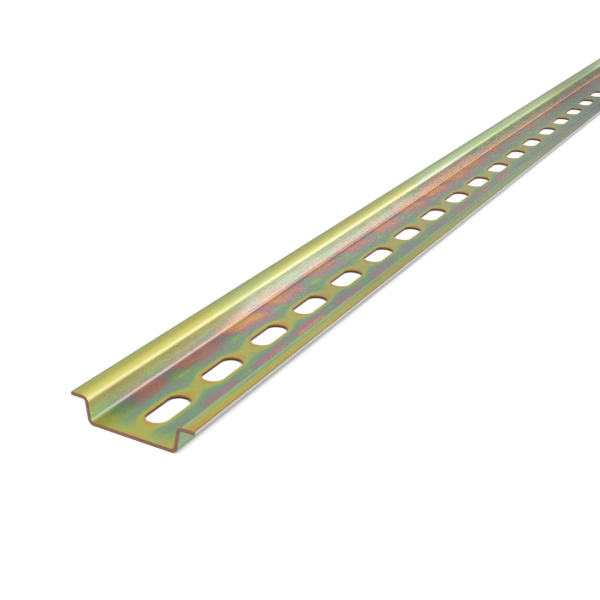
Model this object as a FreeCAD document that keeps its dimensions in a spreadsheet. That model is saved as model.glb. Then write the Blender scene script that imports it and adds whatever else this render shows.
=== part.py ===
"""Slotted 35 mm top-hat mounting rail, one roll-formed steel strip.

The strip lies on the flat back of its hat, with the channel open upwards. X runs along the rail,
Y across it and Z up from the back. The origin is at the middle of the back's underside.
Lengths are in millimetres.
"""
import FreeCAD, Part
import math
import os

import Sketcher

# Driving dimensions, each written once and held in the spreadsheet.
SIZES = {
    "rail_length": 1000.0,        # a stock length, cut square at both ends
    "rail_width": 35.0,           # over the two flanges
    "rail_height": 7.5,           # from the back's underside to the flanges' top
    "sheet_thickness": 1.0,
    "mouth_width": 27.0,          # over the webs, at the flanges' underside
    "crown_width": 25.0,          # over the webs, at the back's underside
    "bend_radius": 0.8,           # inside of all four bends
    "edge_radius": 0.2,           # rounding of the slit edges of the strip
    "slot_length": 15.0,          # end to end
    "slot_width": 6.2,
    "slot_pitch": 25.0,
    "first_slot": 15.0,           # from the rail's end to the first slot's centre
    "last_land": 2.0,             # least metal left between the last slot and the other end
    "slot_rollover": 0.15,        # edge drawn down by the punch, on the channel's side
}

# How a sketch's constraints call its own origin and upright axis, and a curve's points.
ORIGIN, VERTICAL_AXIS = range(-1, -3, -1)
START, END, CENTRE = range(1, 4)

# The drawn-down rim leans out as far as it goes down.
RIM_TAPER = -45.0


def make_sheet(doc):
    """Writes each driving dimension to a cell of its own, with its name as alias."""
    sheet = doc.addObject("Spreadsheet::Sheet", "Sizes")
    for row, (name, value) in enumerate(SIZES.items(), start=1):
        sheet.set(f"A{row}", name)
        sheet.set(f"B{row}", str(value))
        sheet.setAlias(f"B{row}", name)
    doc.recompute()
    return sheet


def origin_feature(body, role):
    """Finds one of the body's own origin planes or axes."""
    return next(f for f in body.Origin.OriginFeatures if f.Role == role)


def new_sketch(body, name, plane):
    """Adds a sketch on one of the body's origin planes."""
    sketch = body.newObject("Sketcher::SketchObject", name)
    sketch.AttachmentSupport = [(origin_feature(body, plane), "")]
    sketch.MapMode = "FlatFace"
    return sketch


def constrain(sketch, kind, *where):
    """Adds a constraint that has no size."""
    sketch.addConstraint(Sketcher.Constraint(kind, *where))


def size_constraint(sketch, kind, *where, name, expression):
    """Adds a dimension, names it and binds it to the spreadsheet."""
    first_guess = sketch.evalExpression(expression)
    first_guess = getattr(first_guess, "Value", first_guess)
    index = sketch.addConstraint(Sketcher.Constraint(kind, *where, first_guess))
    sketch.renameConstraint(index, name)
    sketch.setExpression(f"Constraints.{name}", expression)


def bend(centre, radius, start, end):
    """An arc about centre, between two angles in radians, counter-clockwise."""
    circle = Part.Circle(FreeCAD.Vector(*centre, 0), FreeCAD.Vector(0, 0, 1), radius)
    return Part.ArcOfCircle(circle, start, end)


def line(start, end):
    """A straight edge between two points of the sketch's plane."""
    return Part.LineSegment(FreeCAD.Vector(*start, 0), FreeCAD.Vector(*end, 0))


def half_section(body):
    """Half of the rail's section, from its middle plane out to one flange's edge, fully constrained."""
    s = SIZES
    t, r, e = s["sheet_thickness"], s["bend_radius"], s["edge_radius"]
    height, half_width = s["rail_height"], s["rail_width"] / 2
    underside = height - t
    foot, mouth = s["crown_width"] / 2, s["mouth_width"] / 2
    lean = math.atan2(mouth - foot, underside)      # of the web, from upright
    outward = (math.cos(lean), -math.sin(lean))     # square to the web, away from the channel

    # Bend centres: inside the channel at the foot, outside it under the flange.
    def web_outside(z):
        return foot + z * math.tan(lean)

    foot_centre = (web_outside(r + t) - (r + t) / math.cos(lean), r + t)
    mouth_centre = (web_outside(underside - r) + r / math.cos(lean), underside - r)

    def beyond(centre, distance):
        return (centre[0] + distance * outward[0], centre[1] + distance * outward[1])

    tip = half_width - e
    right, up, down = 0.0, math.pi / 2, -math.pi / 2
    path = {
        "back_underside": line((0, 0), (foot_centre[0], 0)),
        "foot_outer_bend": bend(foot_centre, r + t, down, -lean),
        "web_outside": line(beyond(foot_centre, r + t), beyond(mouth_centre, -r)),
        "mouth_inner_bend": bend(mouth_centre, r, up, math.pi - lean),
        "flange_underside": line((mouth_centre[0], underside), (tip, underside)),
        "tip_lower_round": bend((tip, underside + e), e, down, right),
        "flange_edge": line((half_width, underside + e), (half_width, height - e)),
        "tip_upper_round": bend((tip, height - e), e, right, up),
        "flange_top": line((tip, height), (mouth_centre[0], height)),
        "mouth_outer_bend": bend(mouth_centre, r + t, up, math.pi - lean),
        "web_inside": line(beyond(mouth_centre, -r - t), beyond(foot_centre, r)),
        "foot_inner_bend": bend(foot_centre, r, down, -lean),
        "back_topside": line((foot_centre[0], t), (0, t)),
        "middle": line((0, t), (0, 0)),
    }
    sketch = new_sketch(body, "HalfSection", "YZ_Plane")
    g = {name: sketch.addGeometry(shape, False) for name, shape in path.items()}
    foot_corner = sketch.addGeometry(Part.Point(FreeCAD.Vector(foot, 0, 0)), True)
    mouth_corner = sketch.addGeometry(Part.Point(FreeCAD.Vector(mouth, underside, 0)), True)

    smooth_joints = (
        ("back_underside", END, "foot_outer_bend", START),
        ("foot_outer_bend", END, "web_outside", START),
        ("web_outside", END, "mouth_inner_bend", END),
        ("mouth_inner_bend", START, "flange_underside", START),
        ("flange_underside", END, "tip_lower_round", START),
        ("tip_lower_round", END, "flange_edge", START),
        ("flange_edge", END, "tip_upper_round", START),
        ("tip_upper_round", END, "flange_top", START),
        ("flange_top", END, "mouth_outer_bend", START),
        ("mouth_outer_bend", END, "web_inside", START),
        ("web_inside", END, "foot_inner_bend", END),
        ("foot_inner_bend", START, "back_topside", START),
    )
    for one, one_point, other, other_point in smooth_joints:
        constrain(sketch, "Tangent", g[one], one_point, g[other], other_point)
    constrain(sketch, "Coincident", g["back_topside"], END, g["middle"], START)
    constrain(sketch, "Coincident", g["middle"], END, g["back_underside"], START)
    constrain(sketch, "Coincident", g["back_underside"], START, ORIGIN, START)
    constrain(sketch, "PointOnObject", g["middle"], START, VERTICAL_AXIS)
    for name in ("back_underside", "back_topside", "flange_underside", "flange_top"):
        constrain(sketch, "Horizontal", g[name])
    constrain(sketch, "Vertical", g["flange_edge"])
    constrain(sketch, "Coincident", g["foot_outer_bend"], CENTRE, g["foot_inner_bend"], CENTRE)
    constrain(sketch, "Coincident", g["mouth_outer_bend"], CENTRE, g["mouth_inner_bend"], CENTRE)

    # The two widths over the webs are measured at the corners that the bends round off.
    for corner, edge in ((foot_corner, "back_underside"), (mouth_corner, "flange_underside")):
        constrain(sketch, "PointOnObject", corner, START, g[edge])
        constrain(sketch, "PointOnObject", corner, START, g["web_outside"])

    dims = (
        ("DistanceY", (ORIGIN, START, g["back_topside"], END), "thickness", "Sizes.sheet_thickness"),
        ("DistanceY", (ORIGIN, START, g["flange_top"], END), "height", "Sizes.rail_height"),
        ("DistanceX", (ORIGIN, START, g["flange_edge"], END), "half_width", "Sizes.rail_width / 2"),
        ("DistanceX", (ORIGIN, START, foot_corner, START), "half_crown", "Sizes.crown_width / 2"),
        ("DistanceX", (ORIGIN, START, mouth_corner, START), "half_mouth", "Sizes.mouth_width / 2"),
        ("Radius", (g["foot_inner_bend"],), "foot_bend", "Sizes.bend_radius"),
        ("Radius", (g["mouth_inner_bend"],), "mouth_bend", "Sizes.bend_radius"),
        ("Radius", (g["mouth_outer_bend"],), "mouth_outer", "Sizes.bend_radius + Sizes.sheet_thickness"),
        ("Radius", (g["tip_upper_round"],), "tip_upper", "Sizes.edge_radius"),
        ("Radius", (g["tip_lower_round"],), "tip_lower", "Sizes.edge_radius"),
    )
    for kind, where, name, expression in dims:
        size_constraint(sketch, kind, *where, name=name, expression=expression)
    return sketch


def slot_outline(body, name, margin):
    """The first slot's round-ended outline, widened all round by margin, an expression."""
    s = SIZES
    half_straight = (s["slot_length"] - s["slot_width"]) / 2
    middle_x = s["first_slot"] - s["rail_length"] / 2
    near, far = middle_x - half_straight, middle_x + half_straight
    radius = s["slot_width"] / 2
    quarter = math.pi / 2

    sketch = new_sketch(body, name, "XY_Plane")
    near_end = sketch.addGeometry(bend((near, 0), radius, quarter, 3 * quarter), False)
    far_end = sketch.addGeometry(bend((far, 0), radius, -quarter, quarter), False)
    lower = sketch.addGeometry(line((near, -radius), (far, -radius)), False)
    upper = sketch.addGeometry(line((far, radius), (near, radius)), False)
    ring = (near_end, lower, far_end, upper)
    for edge, next_edge in zip(ring, ring[1:] + ring[:1]):
        constrain(sketch, "Tangent", edge, END, next_edge, START)
    constrain(sketch, "Equal", near_end, far_end)
    constrain(sketch, "PointOnObject", near_end, CENTRE, ORIGIN)
    constrain(sketch, "PointOnObject", far_end, CENTRE, ORIGIN)

    to_middle = "Sizes.rail_length / 2 - Sizes.first_slot"
    half = "(Sizes.slot_length - Sizes.slot_width) / 2"
    dims = (
        ("Radius", (near_end,), "end_radius", f"Sizes.slot_width / 2 + {margin}"),
        ("DistanceX", (near_end, CENTRE, ORIGIN, START), "near_centre", f"{to_middle} + {half}"),
        ("DistanceX", (far_end, CENTRE, ORIGIN, START), "far_centre", f"{to_middle} - {half}"),
    )
    for kind, where, dim_name, expression in dims:
        size_constraint(sketch, kind, *where, name=dim_name, expression=expression)
    return sketch


def make_rail(doc):
    """The rail: half a section pushed out and mirrored, then the slots punched in a row."""
    body = doc.addObject("PartDesign::Body", "Rail")
    body.Label = "din_rail"

    half = body.newObject("PartDesign::Pad", "HalfStrip")
    half.Profile = half_section(body)
    half.SideType = "Symmetric"
    half.setExpression("Length", "Sizes.rail_length")
    strip = body.newObject("PartDesign::Mirrored", "Strip")
    strip.Originals = [half]
    strip.MirrorPlane = (origin_feature(body, "XZ_Plane"), [""])
    strip.Refine = True
    body.Tip = strip
    doc.recompute()

    # The punch comes from the channel's side and draws each slot's upper edge down a little.
    slot = body.newObject("PartDesign::Pocket", "Slot")
    slot.Profile = slot_outline(body, "SlotOutline", "0")
    slot.Type = "ThroughAll"
    slot.Reversed = True
    rim_outline = slot_outline(body, "RimOutline", "Sizes.slot_rollover")
    rim_outline.setExpression("AttachmentOffset.Base.z", "Sizes.sheet_thickness")
    rim = body.newObject("PartDesign::Pocket", "SlotRim")
    rim.Profile = rim_outline
    rim.setExpression("Length", "Sizes.slot_rollover")
    rim.TaperAngle = RIM_TAPER

    row = body.newObject("PartDesign::LinearPattern", "SlotRow")
    row.Originals = [slot, rim]
    row.Direction = (origin_feature(body, "X_Axis"), [""])
    row.Mode = "Spacing"
    row.setExpression("Offset", "Sizes.slot_pitch")
    room = "Sizes.rail_length - Sizes.first_slot - Sizes.slot_length / 2 - Sizes.last_land"
    row.setExpression("Occurrences", f"floor(({room}) / Sizes.slot_pitch) + 1")
    body.Tip = row
    doc.recompute()
    return body


def check(doc):
    """Stops if any feature failed or any shape is empty or broken."""
    for item in doc.Objects:
        if "Invalid" in item.State or "Error" in item.State:
            raise RuntimeError(f"{item.Name} did not build")
        if item.isDerivedFrom("PartDesign::Feature") or item.isDerivedFrom("PartDesign::Body"):
            if item.Shape.isNull() or not item.Shape.isValid():
                raise RuntimeError(f"{item.Name} has no valid shape")


def main():
    doc = FreeCAD.newDocument("din_rail")
    make_sheet(doc)
    rail = make_rail(doc)
    check(doc)
    os.makedirs("parts", exist_ok=True)
    rail.Shape.exportStep(os.path.join("parts", f"{rail.Label}.step"))


main()
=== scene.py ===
"""Looks of the slotted top-hat rail: rolled strip steel with iridescent yellow passivation.

Lengths are in metres, and in millimetres where a material reads a place on the rail. X runs along
the rail, Y across it and Z up, and the rail's back lies on z = 0, as in the frame. The near end is
the one at -X, and the left side the one at +Y.
"""

import math

import bmesh
import bpy
from mathutils import Euler, Matrix, Vector


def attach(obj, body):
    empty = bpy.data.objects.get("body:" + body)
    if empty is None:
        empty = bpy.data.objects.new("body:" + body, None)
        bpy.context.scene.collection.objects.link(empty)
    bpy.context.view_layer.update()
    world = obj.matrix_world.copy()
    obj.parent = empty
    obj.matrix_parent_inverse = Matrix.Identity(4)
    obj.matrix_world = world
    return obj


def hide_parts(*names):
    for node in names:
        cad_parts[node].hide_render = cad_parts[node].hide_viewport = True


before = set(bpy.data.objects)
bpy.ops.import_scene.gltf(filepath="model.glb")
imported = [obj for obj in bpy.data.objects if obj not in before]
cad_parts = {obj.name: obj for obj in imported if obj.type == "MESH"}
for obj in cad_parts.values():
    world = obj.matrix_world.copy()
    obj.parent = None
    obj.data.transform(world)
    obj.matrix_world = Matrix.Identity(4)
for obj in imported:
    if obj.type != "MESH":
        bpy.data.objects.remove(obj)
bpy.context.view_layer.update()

MM = 0.001

# The strip's section, as in the part's source.
LENGTH = 1000 * MM
WIDTH = 35 * MM
HEIGHT = 7.5 * MM
SHEET = 1.0 * MM
MOUTH = 27 * MM              # over the webs, at the flanges' underside
CROWN = 25 * MM              # over the webs, at the back's underside
BEND = 0.8 * MM              # inside radius
EDGE = 0.2 * MM              # rounding of the slit edges

# The punched row.
SLOT_LENGTH = 15 * MM
SLOT_WIDTH = 6.2 * MM
PITCH = 25 * MM
FIRST_SLOT = 15 * MM         # from the near end to the first slot's centre
SLOTS = 40
# The punched edge from the underside up: margin beyond the slot's wall, and height.
PUNCHED_EDGE = [
    (0.03 * MM, 0.0),
    (0.0, 0.05 * MM),
    (0.0, SHEET - 0.20 * MM),
    (0.01 * MM, SHEET - 0.13 * MM),
    (0.04 * MM, SHEET - 0.07 * MM),
    (0.09 * MM, SHEET - 0.02 * MM),
    (0.16 * MM, SHEET),
]
PUNCHED_STEPS = 4            # of its steps from the underside up, those that look cut

PLATED, CUT = 0, 1           # material indices: rolled faces, and sheared or punched ones
SAME = 1e-9                  # lengths closer than this are the same
SHARP = math.radians(40)     # an edge that turns more than this isn't shaded smooth
QUARTER = math.pi / 2


def arc(centre, radius, start, end, steps):
    """Points along part of a circle, from one angle to another."""
    angles = [start + (end - start) * i / steps for i in range(steps + 1)]
    return [(centre[0] + radius * math.cos(a), centre[1] + radius * math.sin(a)) for a in angles]


def section_outline(bend_steps=10, edge_steps=4):
    """The closed section as (y, z) points, counter-clockwise seen from +X."""
    underside = HEIGHT - SHEET
    lean = math.atan2((MOUTH - CROWN) / 2, underside)
    tip = WIDTH / 2 - EDGE
    outer = BEND + SHEET
    foot = (CROWN / 2 + outer * math.tan(lean) - outer / math.cos(lean), outer)
    mouth_z = underside - BEND
    mouth = (CROWN / 2 + mouth_z * math.tan(lean) + BEND / math.cos(lean), mouth_z)

    left = []                      # from the back's underside round to the channel
    left += arc(foot, outer, -QUARTER, -lean, bend_steps)
    left += arc(mouth, BEND, math.pi - lean, QUARTER, bend_steps)
    left += arc((tip, underside + EDGE), EDGE, -QUARTER, 0, edge_steps)
    left += arc((tip, HEIGHT - EDGE), EDGE, 0, QUARTER, edge_steps)
    left += arc(mouth, outer, QUARTER, math.pi - lean, bend_steps)
    left += arc(foot, BEND, -lean, -QUARTER, bend_steps)
    return left + [(-y, z) for y, z in reversed(left)]


def slot_outline(centre_x, margin, end_steps=20):
    """A round-ended slot's outline, widened by margin, as (x, y) points, counter-clockwise."""
    reach = (SLOT_LENGTH - SLOT_WIDTH) / 2
    radius = SLOT_WIDTH / 2 + margin
    return (arc((centre_x + reach, 0.0), radius, -QUARTER, QUARTER, end_steps)
            + arc((centre_x - reach, 0.0), radius, QUARTER, 3 * QUARTER, end_steps))


def panel(near, far, i):
    """Corners of the face between two rows of the section, at the outline's side i."""
    j = (i + 1) % len(near)
    return [near[i], near[j], far[j], far[i]]


def add_slot(bm, centre, under, top):
    """One slot's wall, and the back around it out to the corners of its two flat faces."""
    rings = [[bm.verts.new((x, y, z)) for x, y in slot_outline(centre, margin)]
             for margin, z in PUNCHED_EDGE]
    size = len(rings[0])
    for step, (low, high) in enumerate(zip(rings, rings[1:])):
        for i in range(size):
            j = (i + 1) % size
            face = bm.faces.new((low[j], low[i], high[i], high[j]))
            face.material_index = CUT if step < PUNCHED_STEPS else PLATED
    for border, ring, up in ((under, rings[0], -1), (top, rings[-1], 1)):
        edges = [bm.edges.get((a, b)) or bm.edges.new((a, b))
                 for loop in (border, ring)
                 for a, b in zip(loop, loop[1:] + loop[:1])]
        bmesh.ops.triangle_fill(bm, edges=edges, use_beauty=True, use_dissolve=False,
                                normal=Vector((0, 0, up)))


def build_rail():
    """The whole rail as one closed mesh, finer than the frame's."""
    bm = bmesh.new()
    outline = section_outline()
    centres = [-LENGTH / 2 + FIRST_SLOT + PITCH * k for k in range(SLOTS)]
    between = [(a + b) / 2 for a, b in zip(centres, centres[1:])]
    stations = [-LENGTH / 2] + between + [LENGTH / 2]
    rows = [[bm.verts.new((x, y, z)) for y, z in outline] for x in stations]

    flat = {}                      # the sides of the back's two flat faces, which carry the slots
    for i, ((y0, z0), (y1, z1)) in enumerate(zip(outline, outline[1:] + outline[:1])):
        if abs(y0 + y1) < SAME and abs(z0 - z1) < SAME:
            flat["under" if z0 < SHEET / 2 else "top"] = i
            continue
        for near, far in zip(rows, rows[1:]):
            bm.faces.new(panel(near, far, i))
    for centre, near, far in zip(centres, rows, rows[1:]):
        add_slot(bm, centre, panel(near, far, flat["under"]), panel(near, far, flat["top"]))
    for end in (rows[0][::-1], rows[-1]):
        bm.faces.new(end).material_index = CUT
    bmesh.ops.recalc_face_normals(bm, faces=bm.faces)
    for edge in bm.edges:
        edge.smooth = len(edge.link_faces) == 2 and edge.calc_face_angle(0) < SHARP
    for face in bm.faces:
        face.smooth = True
    mesh = bpy.data.meshes.new("rail")
    bm.to_mesh(mesh)
    bm.free()
    piece = bpy.data.objects.new("rail", mesh)
    bpy.context.collection.objects.link(piece)
    normals = piece.modifiers.new("normals", "WEIGHTED_NORMAL")
    normals.keep_sharp = True
    normals.weight = 100           # the flats keep their own normals right up to the bends
    return piece


class Nodes:
    """A node tree, with short calls for the arithmetic used below."""

    def __init__(self, tree):
        self.tree = tree

    def node(self, kind, **settings):
        made = self.tree.nodes.new(kind)
        for key, value in settings.items():
            setattr(made, key, value)
        return made

    def put(self, socket, value):
        if isinstance(value, bpy.types.NodeSocket):
            self.tree.links.new(value, socket)
        else:
            socket.default_value = value

    def math(self, operation, *values, clamp=False):
        made = self.node("ShaderNodeMath", operation=operation, use_clamp=clamp)
        for socket, value in zip(made.inputs, values):
            self.put(socket, value)
        return made.outputs[0]

    def total(self, first, *others):
        for other in others:
            first = self.math("ADD", first, other)
        return first

    def product(self, first, *others):
        for other in others:
            first = self.math("MULTIPLY", first, other)
        return first

    def span(self, value, low, high, start, end, kind="LINEAR"):
        """start while value is before low, end when it is past high, and what lies between."""
        made = self.node("ShaderNodeMapRange", interpolation_type=kind)
        for socket, number in zip(made.inputs[0:5], (value, low, high, start, end)):
            self.put(socket, number)
        return made.outputs[0]

    def step(self, value, edges):
        """0 before the first of the two edges, 1 past the second, smooth between."""
        return self.span(value, *edges, 0.0, 1.0, "SMOOTHSTEP")

    def band(self, value, rise, fall):
        """1 between the two pairs of edges, 0 outside them."""
        return self.product(self.step(value, rise), self.step(value, fall))

    def mix(self, factor, a, b):
        made = self.node("ShaderNodeMix", data_type="FLOAT")
        for socket, value in zip(made.inputs[0:1] + made.inputs[2:4], (factor, a, b)):
            self.put(socket, value)
        return made.outputs[0]

    def blend(self, factor, colour, towards, kind="MIX"):
        """A colour moved towards a hex colour, or towards its product with it."""
        made = self.node("ShaderNodeMix", data_type="RGBA", blend_type=kind)
        self.put(made.inputs[0], factor)
        self.put(made.inputs[6], colour)
        made.inputs[7].default_value = (*linear(towards), 1)
        return made.outputs[2]

    def curve(self, value, points):
        """A smooth curve of value through the points (value, result), which go up in value."""
        low, high = points[0][0], points[-1][0]
        top = max(result for _, result in points)
        made = self.node("ShaderNodeFloatCurve")
        curve = made.mapping.curves[0]
        shares = [((at - low) / (high - low), result / top) for at, result in points]
        curve.points[0].location = shares[0]
        curve.points[-1].location = shares[-1]
        for share in shares[1:-1]:
            curve.points.new(*share)
        for point in curve.points:
            point.handle_type = "AUTO_CLAMPED"
        made.mapping.update()
        share = self.math("DIVIDE", self.math("SUBTRACT", value, low), high - low, clamp=True)
        self.put(made.inputs["Value"], share)
        return self.product(made.outputs[0], top)

    def ramp(self, value, stops):
        """Colour by value: stops are (value, hex colour), the first at 0."""
        span = stops[-1][0]
        made = self.node("ShaderNodeValToRGB")
        points = made.color_ramp.elements
        while len(points) > 1:
            points.remove(points[-1])
        for k, (where, colour) in enumerate(stops):
            point = points[0] if k == 0 else points.new(where / span)
            point.position = where / span
            point.color = (*linear(colour), 1)
        self.put(made.inputs[0], self.math("DIVIDE", value, span))
        return made.outputs[0]

    def axes(self, vector):
        split = self.node("ShaderNodeSeparateXYZ")
        self.put(split.inputs[0], vector)
        return tuple(split.outputs)

    def noise(self, place, grain, seed, detail=3.0):
        """Noise from -1 to 1, whose grains are (x, y, z) millimetres long."""
        stretch = self.node("ShaderNodeVectorMath", operation="DIVIDE")
        self.put(stretch.inputs[0], place)
        stretch.inputs[1].default_value = grain
        made = self.node("ShaderNodeTexNoise", noise_dimensions="4D")
        self.put(made.inputs["Vector"], stretch.outputs[0])
        settings = {"W": seed, "Scale": 1.0, "Detail": detail, "Roughness": 0.5}
        for key, value in settings.items():
            self.put(made.inputs[key], value)
        return self.math("MULTIPLY_ADD", made.outputs[0], 2.0, -1.0)


class Shader(Nodes):
    """A material and its surface."""

    def __init__(self, name):
        self.material = bpy.data.materials.new(name)
        self.material.use_nodes = True
        super().__init__(self.material.node_tree)
        self.surface = self.tree.nodes["Principled BSDF"]

    def set(self, **settings):
        """The surface's own values, by socket name with _ for a space."""
        for key, value in settings.items():
            self.put(self.surface.inputs[key.replace("_", " ")], value)

    def place(self):
        """The place on the object in millimetres."""
        made = self.node("ShaderNodeVectorMath", operation="SCALE")
        self.put(made.inputs[0], self.node("ShaderNodeTexCoord").outputs["Object"])
        made.inputs["Scale"].default_value = 1 / MM
        return made.outputs[0]

    def from_end(self, x):
        """Millimetres from the nearer of the rail's two ends."""
        return self.math("SUBTRACT", LENGTH / 2 / MM, self.math("ABSOLUTE", x))


def linear(colour):
    """A hex sRGB colour as linear red, green and blue."""
    channels = [int(colour[i:i + 2], 16) / 255 for i in (0, 2, 4)]
    return [c / 12.92 if c <= 0.04045 else ((c + 0.055) / 1.055) ** 2.4 for c in channels]


# Places on the rail are in millimetres from here down to the floor. In a pair, one thing ends at
# the first place and the other is whole at the second.
WEB_FROM = (1.0, 1.5)              # heights where the back gives way to the webs
FLANGE_FROM = (5.6, 6.3)           # and the webs to the flanges and their bends
FLAT_FROM = (14.2, 15.4)           # out from the middle, where a bend gives way to its flange
LEFT_FROM = (-1.0, 1.0)            # across the rail, where the right half gives way to the left
LEAN = 1 / 7.5                     # about how far a web leans out for each millimetre of height
OUTER_FROM = (CROWN / 2 / MM - 0.7, CROWN / 2 / MM - 0.3)   # inside a web, its lean taken off

# Interference colours of the passivation film as it gets thicker. A step is about what the film
# gains in a millimetre away from a slot.
FILM_COLOURS = [
    (0.0, "96653a"),
    (0.4, "b88c44"),
    (0.9, "b9a13c"),
    (1.4, "afae4a"),
    (2.1, "9aaa5e"),
    (2.9, "7a9d6c"),
    (3.7, "76937c"),
    (4.5, "8c8286"),
    (5.3, "ab727f"),
    (6.2, "b87c71"),
    (7.2, "d08f5c"),
    (8.4, "cba053"),
]
THICKEST = FILM_COLOURS[-1][0]
THINNEST_WEB, THINNEST_FLANGE = 1.1, 0.6
OUTER_FILM = 2.9                   # on the webs' outer faces, an even green

# Film thickness on the back by distance from a slot, in steps by millimetres.
BY_SLOT = [(0.0, 0.4), (0.35, 1.0), (0.7, 1.5), (1.2, 2.3), (2.2, 3.2), (3.4, 3.9), (4.8, 4.8),
           (7.0, 5.4), (9.0, 5.6)]
ALONG_ROW = 0.16                   # how much a millimetre along the row counts, beside one across
NOT_ZERO = 0.01                    # keeps a division from zero in a slot's middle
# The bath ran off aslant past every slot, and left bands of thinner film across the back.
DRAIN_START = 3.5                  # from a slot's middle towards the near end
DRAIN_SLANT = 0.64                 # how far a band runs along the rail for each millimetre across
DRAIN_WIDTH = (0.1, 1.0)           # in the cosine that repeats from slot to slot
DRAIN_REACH = (1.5, 4.0)           # from the slot
DRAIN_DEPTH = 1.6
# At the rail's ends the back's film is only END_FILM thick, and gains END_GAIN in a millimetre.
END_FILM, END_GAIN, END_SOFTNESS = 1.3, 0.25, 1.5

# Film thickness on the webs by height, and on the flanges and their bends by place across.
BY_HEIGHT = [(0.9, 5.0), (1.3, 4.6), (1.8, 3.6), (2.4, 2.2), (3.4, 1.9), (4.4, 1.0), (5.4, 0.7),
             (6.0, 0.5)]
ACROSS = [(-17.5, 1.0), (-17.0, 0.6), (-15.9, 0.6), (-15.3, 1.1), (-14.7, 1.9), (-14.0, 2.3),
          (-13.3, 3.0), (-12.8, 4.4), (12.4, 0.7), (12.8, 1.0), (14.2, 1.1), (15.2, 1.1),
          (16.0, 1.5), (17.5, 2.2)]

# What the film gains along the rail, in steps by millimetres from the near end. The back gains it
# only on open faces, where the film is OPEN_FILM thick already.
OPEN_FILM = (1.5, 4.0)
ALONG_BACK = [(0, 0.3), (25, 0.5), (50, 0.7), (72, 1.4), (85, 1.3), (110, 0.5), (185, 0.6),
              (215, 1.6), (255, 1.5), (290, 0.2), (340, 0.3), (400, 0.5), (520, 1.7), (600, 0.2),
              (730, 1.4), (800, 0.2), (960, 1.6), (1000, 0.6)]
# Right of the slots the back gains this too, less RIGHT_LESS, as a curve can't go below 0.
RIGHT_MORE = [(0, 1.5), (50, 1.35), (90, 1.8), (130, 1.4), (152, 0.4), (192, 0.2), (215, 1.1),
              (255, 1.2), (280, 0.4), (400, 0.5), (520, 1.7), (700, 1.1), (1000, 1.5)]
RIGHT_LESS = 0.8
RIGHT_OF_SLOTS = (-3.0, -7.0)
ALONG_LOW_WEB = [(0, 0.2), (40, 0.4), (70, 2.3), (120, 1.9), (190, 3.0), (220, 4.8), (255, 4.9),
                 (300, 5.0), (360, 5.3), (430, 3.8), (520, 4.6), (610, 1.0), (730, 4.8),
                 (820, 2.0), (960, 0.8), (1000, 0.2)]
ALONG_HIGH_WEB = [(0, 0.2), (50, 0.2), (75, 2.0), (110, 1.5), (145, 0.9), (190, 0.9), (220, 5.4),
                  (250, 5.4), (280, 1.4), (400, 1.0), (520, 3.8), (610, 0.4), (730, 4.8),
                  (820, 1.0), (1000, 0.2)]
PARTING = (2.6, 4.4)               # heights between the low and the high web
PARTING_RISE = 0.75                # how much higher the parting lies past PARTING_RISES
PARTING_RISES = (200.0, 280.0)
# What the left bend gains, the share of it that the left flange gains, and what the right bend
# and flange do.
ALONG_BEND = [(0, 0.0), (50, 0.1), (75, 1.3), (110, 0.3), (190, 0.5), (230, 3.1), (250, 3.0),
              (275, 1.9), (355, 2.0), (390, 0.7), (520, 2.4), (610, 0.4), (730, 3.0), (820, 1.2),
              (1000, 0.0)]
FLAT_SHARE = 0.28
ALONG_RIGHT = [(0, 0.0), (30, 0.6), (150, 0.6), (180, 1.2), (260, 1.4), (290, 1.9), (430, 2.0),
               (600, 0.6), (740, 1.8), (860, 0.6), (1000, 0.0)]
# These stretches don't end straight: their places wander along the rail.
WANDER, WANDER_GRAIN = 8.0, (70.0, 14.0, 9.0)

# Streaks along the rolling direction, and clouds: strength in steps, grain, seed and detail.
STREAKS = [
    (1.4, (46.0, 3.0, 3.0), 1.0, 3.0),
    (1.3, (18.0, 1.1, 1.1), 4.0, 2.0),
    (1.4, (7.0, 2.6, 2.6), 7.0, 3.0),
    (0.3, (160.0, 0.5, 0.5), 5.0, 1.0),
]
STREAKS_IN_THIN = 0.15             # what is left of them where the film is thin
THICK_FILM = (0.2, 4.5)

# Left bend's painted highlight: straw yellow, in greener stretches light green over a wider band.
GREENER = [(0, 0.0), (55, 0.0), (75, 0.3), (105, 0.0), (190, 0.1), (215, 0.9), (250, 1.0),
           (440, 1.0), (520, 0.6), (610, 0.0), (700, 0.5), (820, 0.9), (940, 0.1), (1000, 0.0)]
STRAW_HIGHLIGHT, STRAW_HIGHLIGHT_SHARE = "dcd868", 0.7
STRAW_HIGHLIGHT_BAND = (12.2, 12.5), (15.9, 13.7)
GREEN_HIGHLIGHT, GREEN_HIGHLIGHT_SHARE = "cbe3a0", 0.6
GREEN_HIGHLIGHT_BAND = (12.45, 12.8), (17.0, 14.4)

# Painted highlight, a pale near-white laid over the film: on the webs by height, on the left bend
# by place across, and on both along the rail. The webs' feet have stretches of their own.
PAINTED_HIGHLIGHT = "e5e9d6"
HIGHLIGHT_BY_HEIGHT = [(1.0, 0.3), (1.5, 0.75), (2.1, 0.72), (3.6, 0.76), (4.6, 0.57), (5.4, 0.55)]
HIGHLIGHT_ACROSS = [(12.3, 0.55), (12.6, 0.38), (12.9, 0.3), (13.3, 0.2), (13.7, 0.08), (14.2, 0.0),
               (15.2, 0.0)]
HIGHLIGHT_WEB = [(0, 0.35), (50, 0.5), (70, 1.1), (92, 1.7), (125, 1.35), (190, 1.05), (215, 0.6),
            (255, 0.52), (320, 0.58), (370, 0.65), (430, 0.6), (520, 0.2), (600, 0.8), (700, 0.6),
            (820, 0.2), (940, 0.6), (1000, 0.3)]
HIGHLIGHT_FOOT = [(0, 1.0), (30, 1.15), (60, 1.1), (90, 0.8), (125, 0.45), (190, 0.5), (250, 0.35),
             (320, 0.4), (380, 0.5), (450, 0.4), (600, 0.9), (820, 0.3), (1000, 0.9)]
FOOT_BELOW = (2.1, 1.6)            # heights where the foot's painted highlight takes over
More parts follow.
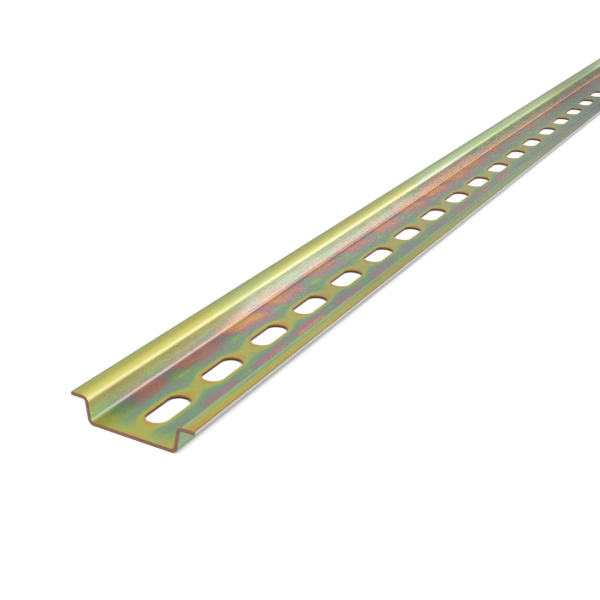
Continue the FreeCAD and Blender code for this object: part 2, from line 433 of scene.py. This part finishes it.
HIGHLIGHT_BEND = [(0, 0.8), (50, 0.9), (75, 1.1), (110, 1.3), (190, 1.2), (220, 1.6), (245, 1.2),
             (278, 0.45), (360, 0.35), (420, 0.4), (520, 0.9), (700, 1.2), (860, 0.7), (1000, 0.6)]
HIGHLIGHT_OUTER = 0.1                   # what is left of it on the webs' outer faces

# Painted highlight: the right bend's crest, and the left bend where its film gains these steps.
PAINTED_SHINE, PAINTED_SHINE_SHARE = "ccd9a8", 0.3
CREST = (13.2, 13.9), (14.8, 14.3)
SHINE_FROM_GAIN = (1.9, 3.1)

# Painted shade: how far the colour is darkened along the rail, and how much of that each face has.
# On the left flange that share goes up with it.
PAINTED_SHADE_TINT = "7f9088"
PAINTED_SHADE = [(0, 0.0), (70, 0.0), (110, 0.14), (240, 0.14), (285, 0.3), (345, 0.42), (375, 0.6),
        (406, 0.9), (430, 1.0), (446, 1.0), (520, 0.3), (640, 0.1), (820, 0.4), (900, 0.1),
        (1000, 0.0)]
PAINTED_SHADE_BACK, PAINTED_SHADE_WEB, PAINTED_SHADE_LEFT, PAINTED_SHADE_RIGHT = 0.95, 0.08, 0.6, 1.5

# The strip's own long edges: bare-looking zinc, with a thin brown line along the corner.
CORNER, CORNER_SHARE, CORNER_FROM = "8a6238", 0.75, (16.95, 17.25)
SIDE, SIDE_SHARE, SIDE_FROM, SIDE_BELOW = "c2c0c6", 0.95, (17.42, 17.48), (7.44, 7.34)

# The bends and the webs' inner feet are rougher than the flats.
FLAT_ROUGHNESS, BEND_ROUGHER, FOOT_ROUGHER, ROUGHNESS_SWING = 0.28, 0.26, 0.3, 0.05
ROUGHNESS_GRAIN = (14.0, 0.8, 0.8)
BEND_WITHIN = (14.3, 13.7)
FOOT_HEIGHT, FOOT_FROM = (1.9, 1.5), (10.8, 11.2)
ROLLING_GRAIN, ROLLING_STRENGTH, ROLLING_DEPTH = (20.0, 0.7, 0.7), 0.015, 0.05 * MM


class Spot:
    """A point of the plated surface: its place in millimetres, and the face it is on as shares."""

    def __init__(self, s):
        self.place = s.place()
        self.x, self.y, self.z = s.axes(self.place)
        self.out = s.math("ABSOLUTE", self.y)
        wander = s.product(s.noise(self.place, WANDER_GRAIN, seed=3.0), WANDER)
        self.along = s.total(self.x, LENGTH / 2 / MM, wander)
        self.on_web = s.step(self.z, WEB_FROM)
        self.on_flange = s.step(self.z, FLANGE_FROM)
        self.on_left = s.step(self.y, LEFT_FROM)
        self.on_outer = s.step(s.math("SUBTRACT", self.out, s.product(self.z, LEAN)), OUTER_FROM)

    def pick(self, s, back, web, flange):
        """The value for the face that the point is on."""
        return s.mix(self.on_flange, s.mix(self.on_web, back, web), flange)


def slot_film(s, at):
    """Film on the back: thin at a slot's wall, slowly thicker along the row and fast beside it."""
    first = (-LENGTH / 2 + FIRST_SLOT) / MM
    pitch = PITCH / MM
    straight = (SLOT_LENGTH - SLOT_WIDTH) / 2 / MM
    turn = s.math("DIVIDE", s.math("SUBTRACT", at.x, first), pitch)
    offset = s.math("SUBTRACT", turn, s.math("ROUND", turn))
    along = s.product(s.math("ABSOLUTE", offset), pitch)
    beyond = s.math("MAXIMUM", s.math("SUBTRACT", along, straight), 0.0)
    square_y = s.math("POWER", at.y, 2.0)
    square = s.total(s.math("POWER", beyond, 2.0), square_y)
    from_middle = s.math("SQRT", square)
    from_wall = s.math("MAXIMUM", s.math("SUBTRACT", from_middle, SLOT_WIDTH / 2 / MM), 0.0)
    beside = s.math("DIVIDE", square_y, s.total(square, NOT_ZERO))
    reach = s.product(from_wall, s.mix(beside, ALONG_ROW, 1.0))

    drift = s.total(at.x, DRAIN_START - first, s.product(at.y, DRAIN_SLANT))
    swing = s.math("COSINE", s.product(drift, 2 * math.pi / pitch))
    drained = s.product(s.step(swing, DRAIN_WIDTH), s.step(reach, DRAIN_REACH))
    return s.math("SUBTRACT", s.curve(reach, BY_SLOT), s.product(drained, DRAIN_DEPTH))


def back_film(s, at):
    """Film on the back, with what it gains along the rail and less at the rail's ends."""
    film = slot_film(s, at)
    more = s.math("SUBTRACT", s.curve(at.along, RIGHT_MORE), RIGHT_LESS)
    gain = s.total(s.curve(at.along, ALONG_BACK), s.product(s.step(at.y, RIGHT_OF_SLOTS), more))
    film = s.total(film, s.product(s.step(film, OPEN_FILM), gain))
    by_end = s.total(s.product(s.from_end(at.x), END_GAIN), END_FILM)
    return s.math("SMOOTH_MIN", film, by_end, END_SOFTNESS)


def web_film(s, at):
    """Film on the webs' inner faces: they gain different amounts low and high."""
    rise = s.product(s.step(at.along, PARTING_RISES), PARTING_RISE)
    high = s.step(s.math("SUBTRACT", at.z, rise), PARTING)
    gain = s.mix(high, s.curve(at.along, ALONG_LOW_WEB), s.curve(at.along, ALONG_HIGH_WEB))
    return s.total(s.curve(at.z, BY_HEIGHT), gain)


def film_thickness(s, at, bend_gain):
    """The film on all faces, in steps, with its streaks and clouds."""
    gain = s.mix(at.on_left, s.curve(at.along, ALONG_RIGHT), bend_gain)
    flange_film = s.total(s.curve(at.y, ACROSS), gain)
    inner_film = s.mix(at.on_web, back_film(s, at), web_film(s, at))
    film = s.mix(at.on_flange, s.mix(at.on_outer, inner_film, OUTER_FILM), flange_film)

    streaks = s.total(*[s.product(s.noise(at.place, grain, seed, detail), strength)
                        for strength, grain, seed, detail in STREAKS])
    share = s.mix(s.step(film, THICK_FILM), STREAKS_IN_THIN, 1.0)
    film = s.total(film, s.product(streaks, share))
    thinnest = at.pick(s, 0.0, THINNEST_WEB, THINNEST_FLANGE)
    return s.math("MINIMUM", s.math("MAXIMUM", film, thinnest), THICKEST)


def plated_colour(s, at):
    """The film's interference colour, under painted highlights and painted shade along the rail."""
    bend_gain = s.product(s.curve(at.along, ALONG_BEND),
                          s.mix(s.step(at.out, FLAT_FROM), 1.0, FLAT_SHARE))
    colour = s.ramp(film_thickness(s, at, bend_gain), FILM_COLOURS)

    # Painted highlight: straw yellow and light green bands on the left flange and bend.
    greener = s.curve(at.along, GREENER)
    straw_highlight = s.product(at.on_flange, s.band(at.y, *STRAW_HIGHLIGHT_BAND), s.mix(greener, STRAW_HIGHLIGHT_SHARE, 0.0))
    colour = s.blend(straw_highlight, colour, STRAW_HIGHLIGHT)
    green_highlight = s.product(at.on_flange, s.band(at.y, *GREEN_HIGHLIGHT_BAND), greener, GREEN_HIGHLIGHT_SHARE)
    colour = s.blend(green_highlight, colour, GREEN_HIGHLIGHT)

    # Painted highlight: a pale near-white on the webs, their feet and the left bend.
    stretch = s.mix(s.step(at.z, FOOT_BELOW), s.curve(at.along, HIGHLIGHT_WEB),
                    s.curve(at.along, HIGHLIGHT_FOOT))
    web_highlight = s.product(stretch, s.curve(at.z, HIGHLIGHT_BY_HEIGHT),
                         s.mix(at.on_outer, 1.0, HIGHLIGHT_OUTER))
    bend_highlight = s.product(s.curve(at.along, HIGHLIGHT_BEND), at.on_left, s.curve(at.y, HIGHLIGHT_ACROSS))
    colour = s.blend(at.pick(s, 0.0, web_highlight, bend_highlight), colour, PAINTED_HIGHLIGHT)

    # Painted highlight on the right bend's crest and where the left bend's film is thick.
    painted_shine = s.mix(at.on_left, s.band(at.out, *CREST), s.step(bend_gain, SHINE_FROM_GAIN))
    colour = s.blend(s.product(at.on_flange, painted_shine, PAINTED_SHINE_SHARE), colour, PAINTED_SHINE)

    # Painted shade: darkens stretches along the rail, each face by its own share.
    painted_shade = s.curve(at.along, PAINTED_SHADE)
    flange_share = s.mix(at.on_left, PAINTED_SHADE_RIGHT, s.product(painted_shade, PAINTED_SHADE_LEFT))
    share = at.pick(s, PAINTED_SHADE_BACK, PAINTED_SHADE_WEB, flange_share)
    colour = s.blend(s.product(painted_shade, share), colour, PAINTED_SHADE_TINT, "MULTIPLY")

    colour = s.blend(s.product(s.step(at.out, CORNER_FROM), CORNER_SHARE), colour, CORNER)
    side = s.product(s.step(at.out, SIDE_FROM), s.step(at.z, SIDE_BELOW), SIDE_SHARE)
    return s.blend(side, colour, SIDE)


def plated_finish():
    """Rolled zinc with yellow passivation: thin film by every edge, and thick on open faces."""
    s = Shader("yellow_zinc")
    at = Spot(s)
    on_bend = s.product(at.on_flange, s.step(at.out, BEND_WITHIN))
    in_foot = s.product(s.step(at.z, FOOT_HEIGHT), s.step(at.out, FOOT_FROM))
    swing = s.noise(at.place, ROUGHNESS_GRAIN, seed=9.0)
    roughness = s.total(s.product(on_bend, BEND_ROUGHER), s.product(in_foot, FOOT_ROUGHER),
                        FLAT_ROUGHNESS, s.product(swing, ROUGHNESS_SWING))
    rolling = s.node("ShaderNodeBump")
    rolling.inputs["Strength"].default_value = ROLLING_STRENGTH
    rolling.inputs["Distance"].default_value = ROLLING_DEPTH
    s.put(rolling.inputs["Height"], s.noise(at.place, ROLLING_GRAIN, seed=12.0, detail=1.0))
    s.set(Base_Color=plated_colour(s, at), Roughness=roughness, Normal=rolling.outputs[0],
          Metallic=0.85, Coat_Weight=0.2, Coat_Roughness=0.22)
    return s.material


CUT_COLOURS = [(0.0, "7a5248"), (0.5, "946a58"), (1.0, "a6825e")]
CUT_GRAIN = (1.6, 1.6, 0.5)
SLOT_WALL, SLOT_WALL_SHARE = "b9803f", 0.6
# Painted shade: the lower part of each slot's wall is darkened almost to black.
SLOT_SHADE, SLOT_SHADE_SHARE = "3a3022", 0.9
SLOT_SHADE_BELOW = (0.95, 0.35)          # heights
SLOT_PAST = (0.5, 1.5)             # from the rail's end, past which a cut face is a slot's


def cut_finish():
    """Sheared and punched edges, plated the same: browner and duller, with painted shade low in the
    slots.
    """
    s = Shader("yellow_zinc_cut")
    place = s.place()
    x, _, z = s.axes(place)
    mottle = s.noise(place, CUT_GRAIN, seed=2.0, detail=4.0)
    colour = s.ramp(s.math("MULTIPLY_ADD", mottle, 0.5, 0.5, clamp=True), CUT_COLOURS)
    in_slot = s.step(s.from_end(x), SLOT_PAST)
    colour = s.blend(s.product(in_slot, SLOT_WALL_SHARE), colour, SLOT_WALL)
    # Painted shade low in the slots' walls.
    slot_shade = s.product(in_slot, s.step(z, SLOT_SHADE_BELOW), SLOT_SHADE_SHARE)
    s.set(Base_Color=s.blend(slot_shade, colour, SLOT_SHADE), Metallic=0.7, Roughness=0.45)
    return s.material


FLOOR_HALF = 4.0
FLOOR_GREY = 0.8                   # what lights the rail from below
SHADE_REACH = 2.5 * MM
SHADE_GAIN, SHADE_DEEPEST = 1.3, 0.2   # brightness for the open share above, and where all is shut


def add_floor():
    """A large pale floor. What looks at it sees white, but for the narrow shade by the rail."""
    half = FLOOR_HALF
    corners = [(-half, -half, 0), (half, -half, 0), (half, half, 0), (-half, half, 0)]
    mesh = bpy.data.meshes.new("floor")
    mesh.from_pydata(corners, [], [(0, 1, 2, 3)])
    floor = bpy.data.objects.new("floor", mesh)
    bpy.context.collection.objects.link(floor)

    s = Shader("floor")
    s.set(Base_Color=(FLOOR_GREY, FLOOR_GREY, FLOOR_GREY, 1), Roughness=0.9,
          Specular_IOR_Level=0.0)
    path = s.node("ShaderNodeLightPath")
    mirrored = s.math("MAXIMUM", path.outputs["Is Glossy Ray"], path.outputs["Is Transmission Ray"])
    seen = s.math("MAXIMUM", path.outputs["Is Camera Ray"], mirrored)
    near = s.node("ShaderNodeAmbientOcclusion", samples=16)
    near.inputs["Distance"].default_value = SHADE_REACH
    white = s.node("ShaderNodeEmission")
    shade = s.math("MULTIPLY_ADD", near.outputs["AO"], SHADE_GAIN, SHADE_DEEPEST, clamp=True)
    s.put(white.inputs["Strength"], shade)
    either = s.node("ShaderNodeMixShader")
    for socket, value in zip(either.inputs, (seen, s.surface.outputs[0], white.outputs[0])):
        s.put(socket, value)
    s.put(s.tree.nodes["Material Output"].inputs["Surface"], either.outputs[0])
    s.material.cycles.emission_sampling = "NONE"
    mesh.materials.append(s.material)


# The tent's brightness at the horizon, overhead and underneath, and how far up or down, as the
# sine of the angle, each is reached.
TENT_LOW, TENT_HIGH, TENT_BELOW = 0.5, 1.1, 1.0
TENT_HIGH_FROM = 0.7
TENT_UNDER, TENT_BELOW_FROM = -0.02, -0.2
SOFTBOX = (2.1, 1.4)                             # width and height
SOFTBOX_AZIMUTH, SOFTBOX_ELEVATION = -40, 15     # degrees, as seen from where it aims
SOFTBOX_DISTANCE = 3.0
SOFTBOX_AIM = (-0.3, 0, 0)
RADIANCE = 2.6                                   # the softbox's brightness


def add_light():
    """A plain white tent, and one wide softbox beyond the far end, on the right."""
    world = bpy.data.worlds.new("tent")
    world.use_nodes = True
    bpy.context.scene.world = world
    n = Nodes(world.node_tree)
    _, _, up = n.axes(n.node("ShaderNodeTexCoord").outputs["Generated"])
    above = n.span(up, 0.0, TENT_HIGH_FROM, TENT_LOW, TENT_HIGH)
    below = n.span(up, TENT_UNDER, TENT_BELOW_FROM, 0.0, TENT_BELOW)
    tent = n.tree.nodes["Background"]
    tent.inputs["Color"].default_value = (1, 1, 1, 1)
    n.put(tent.inputs["Strength"], n.math("MAXIMUM", above, below))

    lamp = bpy.data.lights.new("softbox", "AREA")
    lamp.shape = "RECTANGLE"
    lamp.size, lamp.size_y = SOFTBOX
    lamp.energy = RADIANCE * math.pi * lamp.size * lamp.size_y
    holder = bpy.data.objects.new("softbox", lamp)
    towards = Vector((1, 0, 0))
    towards.rotate(Euler((0, math.radians(-SOFTBOX_ELEVATION), math.radians(SOFTBOX_AZIMUTH))))
    holder.location = Vector(SOFTBOX_AIM) + SOFTBOX_DISTANCE * towards
    holder.rotation_euler = (-towards).to_track_quat("-Z", "Y").to_euler()
    bpy.context.collection.objects.link(holder)


CAMERA_PLACE = (-0.67703, -0.13183, 0.13355)
CAMERA_RIGHT = (0.470177, -0.881308, 0.047229)
CAMERA_UP = (0.336023, 0.228238, 0.913781)
FOCAL_LENGTH = 65.042              # millimetres, on a sensor 36 mm wide


def add_camera():
    """In front of the near end, on the right, looking down on the channel, as in the photo."""
    data = bpy.data.cameras.new("camera")
    data.sensor_width = 36
    data.lens = FOCAL_LENGTH
    data.clip_start = 0.01
    camera = bpy.data.objects.new("camera", data)
    right, up = Vector(CAMERA_RIGHT), Vector(CAMERA_UP)
    turn = Matrix((right, up, right.cross(up))).transposed().to_4x4()
    camera.matrix_world = Matrix.Translation(CAMERA_PLACE) @ turn
    bpy.context.collection.objects.link(camera)
    bpy.context.scene.camera = camera


rail = build_rail()
rail.data.materials.append(plated_finish())
rail.data.materials.append(cut_finish())
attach(rail, "root")
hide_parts("din_rail")

add_camera()
add_floor()
add_light()
bpy.context.scene.view_settings.view_transform = "Standard"
